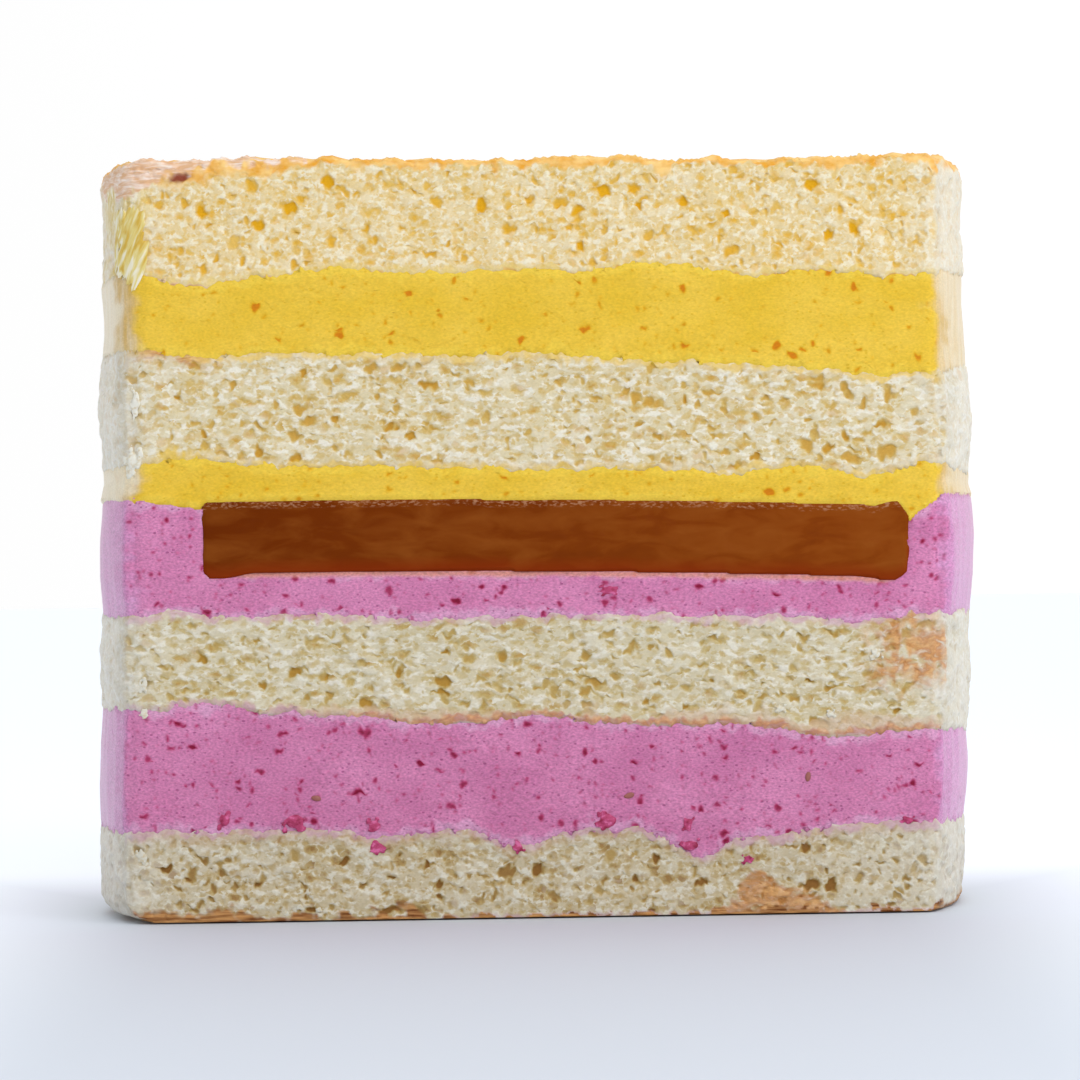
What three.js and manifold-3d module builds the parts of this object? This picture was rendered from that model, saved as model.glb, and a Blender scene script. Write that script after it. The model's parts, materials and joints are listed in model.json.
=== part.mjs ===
// A tall mango and berry layer cake, cut straight across so that every layer shows.
// Millimetres, +Z up. The origin is on the base, under the centre of the cake. The cut face looks along -Y.

import * as THREE from "three";
import { mergeVertices } from "three/addons/utils/BufferGeometryUtils.js";
import Module from "manifold-3d";

const wasm = await Module();
wasm.setup();

// Driving dimensions, in millimetres
const CAKE_RADIUS = 80; // the 16 cm ring that the cake was set in
const CUT_OFFSET = 34; // from the cake's axis forward to the cut face
const GAP = 0.3; // clearance between neighbouring pieces

// The plan of the cake and of the disc inside it: a circle, cut along the same straight line.
// hub is the point that the top and bottom faces fan out from.
const CAKE = { x: 0, y: 0, radius: CAKE_RADIUS, hub: [0, 16], cutSteps: 40, roundSteps: 48 };
const INSERT = { x: 3.3, y: -2.9, radius: 70, hub: [3.3, 16], cutSteps: 28, roundSteps: 36 };

// The soft cake leans: below this height it stands further to the left, by so much at the base.
const LEAN_TOP = 65;
const LEAN = 2;

// The insert's height, how far it falls from left to right, and how far its middle arches up.
const INSERT_BOTTOM = 61.2;
const INSERT_THICKNESS = 12.4;
const INSERT_FALL = 3;
const INSERT_ARCH = 0.9;

// The insert's wall from its floor up: each height, with its inset at the left, where the wall is crisp,
// and at the right, where it is softened.
const INSERT_WALL = [
  [0, [0.4, 2.2]],
  [1.2, [0, 0.6]],
  [0.45 * INSERT_THICKNESS, [0.2, 0.3]],
  [0.8 * INSERT_THICKNESS, [0, -0.2]],
  [INSERT_THICKNESS, [0.3, 1.2]],
];

// The groove that mango mousse fills, round the insert's top edge: depth and width at the left and right.
const GROOVE = { depth: [1.4, 6], width: [6, 3.2] };

// The seams between layers, from the base up. Each has its mean height, how far it falls from left to right,
// the size of its ripples, how far its rim stands past the ring, and dips along the cut: [x, depth, width].
const SEAMS = {
  lowerBerryFloor: {
    height: 15.8,
    fall: 0.6,
    ripple: 0.4,
    rim: 0,
    dips: [[-27, 2.2, 5], [-2, 3.6, 6], [30, 5.6, 5.5], [44, 2.2, 8]],
  },
  lowerBerryRoof: {
    height: 35,
    fall: 6.2,
    ripple: 0.35,
    rim: 0.2,
    dips: [[-59, -2, 7], [-20, 1, 7], [1, -1.2, 4], [55, 1.4, 12]],
  },
  upperBerryFloor: {
    height: 53.8,
    fall: 1.6,
    ripple: 0.35,
    rim: 0.5,
    dips: [[-65, -1.2, 6], [-44, -0.7, 6], [-20, 1.1, 8], [56, 1.1, 8]],
  },
  upperBerryRoof: { height: 75, fall: 1, ripple: 0.2, rim: 0.7, dips: [], grooved: true },
  lowerMangoRoof: {
    height: 80.1,
    fall: 2.6,
    ripple: 0.3,
    rim: 0.2,
    dips: [[-62, -1.8, 9], [34, 1.6, 4], [59, 1.6, 5], [71, -2, 4]],
  },
  upperMangoFloor: {
    height: 99.9,
    fall: 4.6,
    ripple: 0.35,
    rim: 0.2,
    dips: [[-60, 1.3, 4], [-2, -0.9, 8], [50, 1.2, 14], [61, 1.6, 5], [71, 1.6, 5]],
  },
  upperMangoRoof: {
    height: 115.4,
    fall: 1,
    ripple: 0.35,
    rim: -0.1,
    dips: [[-61, 2.2, 8], [-35, -0.9, 6], [8, 1.1, 4], [19, -0.9, 7], [39, 1.7, 6], [66, 1.2, 9]],
  },
  crust: {
    height: 136,
    fall: 1,
    ripple: 0.2,
    rim: 0,
    dips: [[-70, -0.5, 12], [-37, -0.4, 9], [25, 1.1, 4], [39, 0.7, 6]],
  },
};
Object.values(SEAMS).forEach((seam, number) => (seam.seed = number + 1));
const DIP_RUN = 2; // a dip runs this many times further into the cake than along the cut
const RIPPLE_LENGTHS = [61, 34, 19]; // the wavelengths of an uneven seam

// The bottom sponge's lower edge, as [height, inset] pairs: rounded at the left. At the right it is nearly
// square, and the insets shrink to this share.
const BASE_EDGE = [[0, 4.4], [1.2, 1.7], [3.4, 0.3]];
const BASE_EDGE_RIGHT = 0.15;

// The baked skin on top: its outer edge rolls over, as [drop, inset] pairs, and it is bumpy.
const CRUST_EDGE = [[2.8, 0.1], [0.9, 0.7], [0.15, 2.2]];
const CRUST_BUMPS = 0.25;
const CRUST_BUMP_SCALE = 3; // the bumps are this many times closer together than a seam's ripples

// Relief: how far a cut or outer face of sponge or mousse is worn in.
const SPONGE_CRAGS = 0.5;
const MOUSSE_CRAGS = 0.1;

// Where the rings of points lie: out from the hub on a face, and up from the floor on a wall.
const FAN = [0, 0.6];
const GROOVED_FAN = [0, 0.55, 0.93];
const CRUST_FAN = [0, 0.25, 0.5, 0.72, 0.9];
const SPONGE_WALL = [0.25, 0.5, 0.75];
const MOUSSE_WALL = [0.33, 0.67];
const THIN_WALL = [0.5];

const COLOURS = {
  sponge: { color: 0xe6d6ae, roughness: 0.95 },
  mango: { color: 0xe9bd3a, roughness: 0.55 },
  berry: { color: 0xc978a6, roughness: 0.6 },
  caramel: { color: 0x80390a, roughness: 0.25 },
};

// A repeatable number from 0 to 1 for each point of a grid.
function chance(i, j, seed) {
  const s = Math.sin(i * 127.1 + j * 311.7 + seed * 74.7) * 43758.5453;
  return s - Math.floor(s);
}

// Gentle waves over the plan, about -1 to 1, with their own headings for each seed.
function ripple(x, y, seed) {
  return RIPPLE_LENGTHS.reduce((sum, length, n) => {
    const heading = seed * 2.4 + n * 1.9;
    const along = x * Math.cos(heading) + y * Math.sin(heading);
    return sum + Math.sin((2 * Math.PI * along) / length + seed * 1.7 + n) / (n + 1.5);
  }, 0);
}

// A value that goes gently from one at the cake's left to another at its right.
function acrossCake(x, left, right) {
  return THREE.MathUtils.lerp(left, right, THREE.MathUtils.smoothstep(x, -CAKE_RADIUS, CAKE_RADIUS));
}

// How deep the groove next to the insert is. Under the insert it keeps its full depth.
function grooveDepth(x, y) {
  const depth = acrossCake(x, ...GROOVE.depth);
  const width = acrossCake(x, ...GROOVE.width);
  const outside = Math.max(0, Math.hypot(x - INSERT.x, y - INSERT.y) - INSERT.radius);
  return depth * Math.exp(-((outside / width) ** 2));
}

// The height of a seam over a point of the plan.
function seamHeight(seam, x, y) {
  const level = seam.height - (seam.fall * x) / (2 * CAKE_RADIUS) + seam.ripple * ripple(x, y, seam.seed);
  const dips = seam.dips.reduce((sum, [dipX, depth, width]) => {
    const away = Math.hypot(x - dipX, (y + CUT_OFFSET) / DIP_RUN) / width;
    return sum + depth * Math.exp(-away * away);
  }, 0);
  return level - dips - (seam.grooved ? grooveDepth(x, y) : 0);
}

// The insert's underside: level on average, falling to the right and arched in the middle.
function insertFloor(x, y) {
  const away = Math.hypot(x - INSERT.x, y - INSERT.y) / INSERT.radius;
  return INSERT_BOTTOM - (INSERT_FALL * x) / (2 * INSERT.radius) + INSERT_ARCH * (1 - away * away);
}

// Point i round a cut circle, counted from the cut's left end to its right end and on round the outside.
// offset widens the circle, and recess wears the cut face in.
function rimPoint(plan, i, offset, recess, cutOffset = CUT_OFFSET) {
  const radius = plan.radius + offset;
  const toCut = cutOffset + plan.y;
  const halfCut = Math.sqrt(radius * radius - toCut * toCut);
  if (i <= plan.cutSteps) {
    return [plan.x + halfCut * ((2 * i) / plan.cutSteps - 1), recess - cutOffset];
  }
  const start = -Math.asin(toCut / radius);
  const angle = THREE.MathUtils.lerp(start, Math.PI - start, (i - plan.cutSteps) / plan.roundSteps);
  return [plan.x + radius * Math.cos(angle), plan.y + radius * Math.sin(angle)];
}

// A closed surface whose rows run from a hub on the underside, out, up the wall, and in to a hub on top.
// A row has its share of the way out from the hub, a height function, and perhaps an offset and a recess.
function closedSurface(plan, rows, cutOffset) {
  const steps = plan.cutSteps + plan.roundSteps;
  const grid = new THREE.LatheGeometry(rows.map((row, j) => new THREE.Vector2(1, j)), steps);
  const position = grid.getAttribute("position");
  for (let i = 0; i <= steps; i++) {
    rows.forEach(({ out, height, offset = () => 0, recess = () => 0 }, j) => {
      const turn = i % steps;
      const rim = rimPoint(plan, turn, offset(turn), recess(turn), cutOffset);
      const [x, y] = rim.map((value, axis) => THREE.MathUtils.lerp(plan.hub[axis], value, out));
      const z = height(x, y);
      position.setXYZ(i * rows.length + j, x - LEAN * Math.max(0, 1 - z / LEAN_TOP), y, z);
    });
  }
  grid.deleteAttribute("normal");
  grid.deleteAttribute("uv");
  const merged = mergeVertices(grid, 1e-4);
  const triangles = [];
  for (let quad = 0; 6 * quad < merged.index.count; quad++) {
    const [a, b, d, c] = [0, 1, 2, 3].map((k) => merged.index.getX(6 * quad + k));
    const j = quad % (rows.length - 1);
    // a roof is split along the same diagonals as the floor of the layer on it
    const halves = rows[j + 1].out < rows[j].out ? [[a, b, c], [a, c, d]] : [[a, b, d], [c, d, b]];
    // the hubs leave triangles with no area
    triangles.push(...halves.filter((corners) => new Set(corners).size === 3).flat());
  }
  merged.setIndex(triangles);
  return merged;
}

// The rows of a face that fans out from its hub, in the order from the hub to the rim.
function fan(shares, height) {
  return shares.map((out) => ({ out, height }));
}

// The rows of a wall between two faces, worn into crags and bulging at mid height.
function wall(shares, floor, roof, { rims, bulge, crags, seed }) {
  return shares.map((share, j) => {
    const wear = (i) => crags * chance(i, j, seed);
    const swell = THREE.MathUtils.lerp(...rims, share) + bulge * Math.sin(Math.PI * share);
    return {
      out: 1,
      height: (x, y) => THREE.MathUtils.lerp(floor(x, y), roof(x, y), share),
      offset: (i) => (i <= CAKE.cutSteps ? swell : swell - wear(i)),
      recess: wear,
    };
  });
}

const above = (seam) => (x, y) => seamHeight(seam, x, y) + GAP / 2;
const below = (seam) => (x, y) => seamHeight(seam, x, y) - GAP / 2;
const rimRow = (height, offset) => ({ out: 1, height, offset: () => offset });

// A layer between two seams.
function layer(floorSeam, roofSeam, { shares, crags }, bulge, seed) {
  const floor = above(floorSeam);
  const roof = below(roofSeam);
  const rims = [floorSeam.rim, roofSeam.rim];
  return closedSurface(CAKE, [
    ...fan(floorSeam.grooved ? GROOVED_FAN : FAN, floor),
    rimRow(floor, floorSeam.rim),
    ...wall(shares, floor, roof, { rims, bulge, crags, seed }),
    rimRow(roof, roofSeam.rim),
    ...fan(roofSeam.grooved ? GROOVED_FAN : FAN, roof).reverse(),
  ]);
}

const sponge = { shares: SPONGE_WALL, crags: SPONGE_CRAGS };
const mousse = { shares: MOUSSE_WALL, crags: MOUSSE_CRAGS };
const thinMousse = { shares: THIN_WALL, crags: MOUSSE_CRAGS };

// The bottom sponge stands on a flat base.
function bottomSponge(seed) {
  const roof = below(SEAMS.lowerBerryFloor);
  const ground = () => 0;
  const edgeTop = () => BASE_EDGE.at(-1)[0];
  const rims = [0, SEAMS.lowerBerryFloor.rim];
  const edgeShare = (i) => acrossCake(rimPoint(CAKE, i, 0, 0)[0], 1, BASE_EDGE_RIGHT);
  const edgeRow = ([z, inset]) => ({ out: 1, height: () => z, offset: (i) => -inset * edgeShare(i) });
  return closedSurface(CAKE, [
    ...fan(FAN, ground),
    ...BASE_EDGE.map(edgeRow),
    ...wall(SPONGE_WALL, edgeTop, roof, { rims, bulge: 0.3, crags: SPONGE_CRAGS, seed }),
    rimRow(roof, SEAMS.lowerBerryFloor.rim),
    ...fan(FAN, roof).reverse(),
  ]);
}

// The top sponge keeps its baked skin.
function topSponge(seed) {
  const floor = above(SEAMS.upperMangoRoof);
  const bump = (x, y) => CRUST_BUMPS * ripple(CRUST_BUMP_SCALE * x, CRUST_BUMP_SCALE * y, seed);
  const roof = (x, y) => seamHeight(SEAMS.crust, x, y) + bump(x, y);
  const edgeBase = (x, y) => roof(x, y) - CRUST_EDGE[0][0];
  const rims = [SEAMS.upperMangoRoof.rim, SEAMS.crust.rim];
  return closedSurface(CAKE, [
    ...fan(FAN, floor),
    rimRow(floor, SEAMS.upperMangoRoof.rim),
    ...wall(SPONGE_WALL, floor, edgeBase, { rims, bulge: -0.3, crags: SPONGE_CRAGS, seed }),
    ...CRUST_EDGE.map(([drop, inset]) => rimRow((x, y) => roof(x, y) - drop, -inset)),
    ...fan(CRUST_FAN, roof).reverse(),
  ]);
}

// The insert, grown on every side by a clearance and carried past the cut when it is used as a cutter.
function insertSurface(grow = 0, pastCut = 0) {
  const floor = (x, y) => insertFloor(x, y) - grow;
  const roof = (x, y) => insertFloor(x, y) + INSERT_THICKNESS + grow;
  const rows = [
    ...fan(FAN, floor),
    ...INSERT_WALL.map(([z, insets]) => ({
      out: 1,
      height: (x, y) => THREE.MathUtils.lerp(floor(x, y), roof(x, y), z / INSERT_THICKNESS),
      offset: (i) => grow - acrossCake(rimPoint(INSERT, i, 0, 0)[0], ...insets),
    })),
    ...fan(FAN, roof).reverse(),
  ];
  return closedSurface(INSERT, rows, CUT_OFFSET + pastCut);
}

function toSolid(geometry) {
  const vertProperties = new Float32Array(geometry.getAttribute("position").array);
  const triVerts = new Uint32Array(geometry.index.array);
  return new wasm.Manifold(new wasm.Mesh({ numProp: 3, vertProperties, triVerts }));
}

function toGeometry(solid) {
  const { vertProperties, triVerts } = solid.getMesh();
  const geometry = new THREE.BufferGeometry();
  geometry.setAttribute("position", new THREE.BufferAttribute(vertProperties, 3));
  geometry.setIndex(new THREE.BufferAttribute(triVerts, 1));
  return geometry;
}

// The two mousses that hold the insert have its shape cut out of them.
const PAST_CUT = 4;
const insertCutter = toSolid(insertSurface(GAP, PAST_CUT));
const aroundInsert = (geometry) => toGeometry(toSolid(geometry).subtract(insertCutter));

const cake = new THREE.Group();

function add(name, kind, geometry) {
  geometry.computeVertexNormals();
  const mesh = new THREE.Mesh(geometry, new THREE.MeshStandardMaterial({ ...COLOURS[kind], metalness: 0 }));
  mesh.name = name;
  cake.add(mesh);
}

// The cake from the base up
const upperBerry = layer(SEAMS.upperBerryFloor, SEAMS.upperBerryRoof, mousse, 0.7, 14);
const lowerMango = layer(SEAMS.upperBerryRoof, SEAMS.lowerMangoRoof, thinMousse, -0.4, 15);
add("sponge_bottom", "sponge", bottomSponge(11));
add("berry_mousse_lower", "berry", layer(SEAMS.lowerBerryFloor, SEAMS.lowerBerryRoof, mousse, 0.6, 12));
add("sponge_lower_middle", "sponge", layer(SEAMS.lowerBerryRoof, SEAMS.upperBerryFloor, sponge, 0.5, 13));
add("berry_mousse_upper", "berry", aroundInsert(upperBerry));
add("caramel_insert", "caramel", insertSurface());
add("mango_mousse_lower", "mango", aroundInsert(lowerMango));
add("sponge_upper_middle", "sponge", layer(SEAMS.lowerMangoRoof, SEAMS.upperMangoFloor, sponge, 1.0, 16));
add("mango_mousse_upper", "mango", layer(SEAMS.upperMangoFloor, SEAMS.upperMangoRoof, mousse, -0.3, 17));
add("sponge_top", "sponge", topSponge(18));

export default cake;
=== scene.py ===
import json
import math

import bpy
import numpy as np
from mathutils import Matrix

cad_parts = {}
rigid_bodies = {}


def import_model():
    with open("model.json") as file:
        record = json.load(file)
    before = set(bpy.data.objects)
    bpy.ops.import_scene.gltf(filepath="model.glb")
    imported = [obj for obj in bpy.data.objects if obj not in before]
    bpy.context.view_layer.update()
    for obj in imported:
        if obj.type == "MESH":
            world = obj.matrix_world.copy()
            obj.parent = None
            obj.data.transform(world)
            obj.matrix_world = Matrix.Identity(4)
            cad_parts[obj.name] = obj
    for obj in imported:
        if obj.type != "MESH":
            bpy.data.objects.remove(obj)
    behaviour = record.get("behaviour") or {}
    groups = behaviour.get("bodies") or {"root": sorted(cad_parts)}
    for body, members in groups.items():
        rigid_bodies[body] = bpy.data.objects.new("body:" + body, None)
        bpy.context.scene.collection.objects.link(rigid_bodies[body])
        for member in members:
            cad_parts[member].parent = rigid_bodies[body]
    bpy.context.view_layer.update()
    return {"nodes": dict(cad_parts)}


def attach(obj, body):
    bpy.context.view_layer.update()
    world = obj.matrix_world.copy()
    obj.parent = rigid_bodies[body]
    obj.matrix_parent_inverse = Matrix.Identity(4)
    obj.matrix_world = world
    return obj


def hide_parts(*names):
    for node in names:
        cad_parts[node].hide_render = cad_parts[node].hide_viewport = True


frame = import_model()


# Bottom sponge: a disc of plain vanilla sponge, baked flat, trimmed and laid in the ring first.
# Its underside keeps a thin browned skin, which has come loose in flakes along part of the cut,
# and its top has soaked up a little berry juice.
MM = 0.001
RADIUS = 80.0  # of the ring, in mm
CUT_Y = -34.0  # the plane of the cut, in mm
LEAN, LEAN_TOP = 2.0, 65.0  # below this height the cake stands further left, by so much at its base, in mm
CORNER, DRAGGED = 2.4, 3.8  # radius of the two upright corners, and where the knife dragged most, in mm
GRID = 0.5 * MM  # spacing of a layer's points, which is halved on the cut
RIM_DEPTH = 2.8  # a layer's faces are out of sight further in than this, in mm
HIDDEN_SHARE, TOP_SHARE = 0.01, 0.1  # of the faces, kept out of sight and on top of the cake


def pick_faces(piece, chosen):
    """Opens a piece in edit mode with only the chosen faces selected."""
    bpy.ops.object.select_all(action="DESELECT")
    bpy.context.view_layer.objects.active = piece
    piece.select_set(True)
    bpy.ops.object.mode_set(mode="EDIT")
    bpy.context.tool_settings.mesh_select_mode = (False, False, True)
    bpy.ops.mesh.select_all(action="DESELECT")
    bpy.ops.object.mode_set(mode="OBJECT")
    piece.data.polygons.foreach_set("select", chosen)
    bpy.ops.object.mode_set(mode="EDIT")


def face_data(piece):
    """The centre, in mm, and the normal of each face, and which faces lie inside the cake."""
    count = len(piece.data.polygons)
    centre, normal = np.empty(count * 3), np.empty(count * 3)
    piece.data.polygons.foreach_get("center", centre)
    piece.data.polygons.foreach_get("normal", normal)
    centre, normal = centre.reshape(-1, 3) / MM, normal.reshape(-1, 3)
    inside = np.hypot(centre[:, 0], centre[:, 1]) < RADIUS - RIM_DEPTH
    return centre, normal, inside & (centre[:, 1] > CUT_Y + RIM_DEPTH)


def point_data(piece):
    """The place, in mm, and the normal of each point."""
    count = len(piece.data.vertices)
    place, normal = np.empty(count * 3), np.empty(count * 3)
    piece.data.vertices.foreach_get("co", place)
    piece.data.vertices.foreach_get("normal", normal)
    return place.reshape(-1, 3) / MM, normal.reshape(-1, 3)


def move_points(piece, place):
    """Puts each point at its place, in mm."""
    piece.data.vertices.foreach_set("co", (place * MM).ravel())
    piece.data.update()


def from_axis(place):
    """The way out from the cake's leaning axis at each point, and how far out it is, in mm."""
    out = place * [1, 1, 0]
    out[:, 0] += LEAN * np.maximum(0, 1 - place[:, 2] / LEAN_TOP)
    reach = np.maximum(np.linalg.norm(out, axis=1), 1e-6)
    return out / reach[:, None], reach


def smooth_step(low, high, value):
    """How far a value has come from low to high, from 0 to 1, with a soft start and end."""
    share = np.clip((value - low) / (high - low), 0, 1)
    return share * share * (3 - 2 * share)


def round_corners(piece):
    """Rounds off the two upright corners, where the cut meets the outside."""
    place, _ = point_data(piece)
    out, reach = from_axis(place)
    x, y, z = place.T
    corner = CORNER + (DRAGGED - CORNER) * smooth_step(72, 84, z) * (x < 0)
    near_wall = corner - np.clip(RADIUS - reach, 0, corner)
    near_cut = corner - np.clip(y - CUT_Y, 0, corner)
    near = np.maximum(np.hypot(near_wall, near_cut), 1e-6)
    # the two faces meet at an angle, so a step away from one is partly a step away from the other
    shared = 2 * near_wall * near_cut / near**2 * -CUT_Y / RADIUS
    step = np.maximum(near - corner, 0) / (1 + shared)
    place -= out * (step * near_wall / near)[:, None]
    place[:, 1] += step * near_cut / near
    move_points(piece, place)


def layer_blank(node, name, shown_top=False):
    """A copy of a layer's solid in an even fine grid, finest on the cut and sparse out of sight."""
    bpy.ops.object.select_all(action="DESELECT")
    solid = frame["nodes"][node]
    solid.select_set(True)
    bpy.context.view_layer.objects.active = solid
    bpy.ops.object.duplicate()
    blank = bpy.context.object
    blank.name = blank.data.name = name
    bpy.ops.object.parent_clear(type="CLEAR_KEEP_TRANSFORM")
    bpy.ops.object.mode_set(mode="EDIT")
    bpy.ops.mesh.select_all(action="SELECT")
    bpy.ops.mesh.remove_doubles(threshold=0.001 * MM)
    bpy.ops.object.mode_set(mode="OBJECT")
    grid = blank.modifiers.new("fine_grid", "REMESH")
    grid.mode = "VOXEL"
    grid.voxel_size = GRID
    bpy.ops.object.modifier_apply(modifier=grid.name)
    _, normal, inside = face_data(blank)
    pick_faces(blank, inside & (normal[:, 2] < 0.5) if shown_top else inside)
    bpy.ops.mesh.decimate(ratio=HIDDEN_SHARE)
    bpy.ops.object.mode_set(mode="OBJECT")
    if shown_top:
        _, normal, inside = face_data(blank)
        pick_faces(blank, inside & (normal[:, 2] > 0.5))
        bpy.ops.mesh.decimate(ratio=TOP_SHARE)
        bpy.ops.object.mode_set(mode="OBJECT")
    round_corners(blank)
    centre, normal, _ = face_data(blank)
    pick_faces(blank, (normal[:, 1] < -0.7) & (centre[:, 1] < CUT_Y + 1.5))
    bpy.ops.mesh.subdivide(number_cuts=1)
    bpy.ops.object.mode_set(mode="OBJECT")
    bpy.ops.object.shade_smooth()
    return blank


def mark(piece, **masks):
    """Stores masks on a piece's points, for its material to read."""
    for name, values in masks.items():
        layer = piece.data.attributes.get(name) or piece.data.attributes.new(name, "FLOAT", "POINT")
        layer.data.foreach_set("value", np.clip(values, 0, 1).astype(np.float32))


class ReliefMap:
    """A sheet of cells laid over the cut face, or over the unrolled outside, that relief is drawn on."""

    def __init__(self, start, width, low, height, cell, seed):
        self.start, self.low, self.cell = start, low, cell
        self.width, self.height = width, height
        self.shape = (int(height / cell) + 1, int(width / cell) + 1)
        self.rng = np.random.default_rng(seed)
        self.seed = seed

    def soften(self, field, size, even=False):
        """Blurs a field over a size in mm, or over a size down and across. An even one loses its large
        blotches too."""
        down, across = np.broadcast_to(size, 2) / self.cell / 2.5
        rows = np.fft.fftfreq(self.shape[0])[:, None] * down
        columns = np.fft.rfftfreq(self.shape[1])[None, :] * across
        spread = 2 * np.pi**2 * (rows**2 + columns**2)
        keep = np.exp(-spread) - (np.exp(-2.5 * spread) if even else 0)
        return np.fft.irfft2(np.fft.rfft2(field) * keep, self.shape)

    def mottle(self, size, number, even=False):
        """Random blotches of a size in mm, or of a size down and across, with mean 0 and deviation 1.
        Each number gives other blotches."""
        noise = np.random.default_rng(self.seed * 100 + number).standard_normal(self.shape)
        field = self.soften(noise, size, even)
        return field / field.std()

    def dents(self, bubbles, warp=0.17, warp_size=0.7, blur=0.25):
        """Hollows with ragged outlines and soft edges, from (along, up, width, height, strength), in mm."""
        depth = np.zeros(self.shape)
        for along, up, width, height, deep in bubbles:
            column, row = (along - self.start) / self.cell, (up - self.low) / self.cell
            half_wide, half_high = width / 2 / self.cell, height / 2 / self.cell
            first_row, first_column = max(0, int(row - half_high)), max(0, int(column - half_wide))
            rows = np.arange(first_row, min(self.shape[0], int(row + half_high) + 2))
            columns = np.arange(first_column, min(self.shape[1], int(column + half_wide) + 2))
            if not len(rows) or not len(columns):
                continue
            away = ((rows - row) / half_high)[:, None] ** 2 + ((columns - column) / half_wide)[None, :] ** 2
            dent = deep * smooth_step(0, 0.8, 1 - away)
            patch = depth[rows[0] : rows[-1] + 1, columns[0] : columns[-1] + 1]
            np.maximum(patch, dent, out=patch)
        rows, columns = np.indices(self.shape)
        far = warp / self.cell
        rows = rows + far * (self.mottle(warp_size, 1) + 1.2 * self.mottle(3 * warp_size, 11))
        columns = columns + far * (self.mottle(warp_size, 2) + 1.2 * self.mottle(3 * warp_size, 12))
        rows = np.clip(np.rint(rows).astype(int), 0, self.shape[0] - 1)
        columns = np.clip(np.rint(columns).astype(int), 0, self.shape[1] - 1)
        return self.soften(depth[rows, columns], blur)

    def scatter(self, per_cm2, widths, depths, stretch=1.0):
        """Bubbles at random, so many to the square centimetre."""
        number = int(per_cm2 * self.width * self.height / 100)
        along = self.start + self.width * self.rng.random(number)
        up = self.low + self.height * self.rng.random(number)
        share = self.rng.random(number) ** 1.6
        wide = widths[0] + (widths[1] - widths[0]) * share
        squash = self.rng.uniform(0.75, 1.3, number) * stretch**0.5
        deep = depths[0] + (depths[1] - depths[0]) * (0.6 * share + 0.4 * self.rng.random(number))
        return np.stack([along, up, wide * squash, wide / squash, deep], axis=1)

    def read(self, field, along, up):
        """The field's value under each point."""
        row = np.clip(np.rint((up - self.low) / self.cell).astype(int), 0, self.shape[0] - 1)
        column = np.clip(np.rint((along - self.start) / self.cell).astype(int), 0, self.shape[1] - 1)
        return field[row, column]


# Short waves that make every seam between layers uneven, the same for the layers on both sides of it.
WAVE_COUNT = 48
SHORTEST_WAVE, LONGEST_WAVE, HIGHEST_WAVE = 0.8, 9, 0.065  # mm
WAVE_LENGTHS = np.geomspace(SHORTEST_WAVE, LONGEST_WAVE, WAVE_COUNT)
WAVE_HEIGHTS = HIGHEST_WAVE * (WAVE_LENGTHS / LONGEST_WAVE) ** 0.2
wave_rng = np.random.default_rng(5)
WAVES = wave_rng.standard_normal((WAVE_COUNT, 3))
WAVES *= 2 * np.pi / WAVE_LENGTHS[:, None] / np.linalg.norm(WAVES, axis=1, keepdims=True)
WAVE_PHASES = wave_rng.uniform(0, 2 * np.pi, WAVE_COUNT)


def uneven(place):
    """How far a point of the cake is lifted by the waves, in mm. The caramel disc keeps its clean edges."""
    z = place[:, 2]
    lift = np.sin(place @ WAVES.T + WAVE_PHASES) @ WAVE_HEIGHTS
    lift *= smooth_step(0.3, 4, z)
    return lift * (1 - smooth_step(56.5, 59.5, z) * smooth_step(79, 76.5, z))


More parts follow.
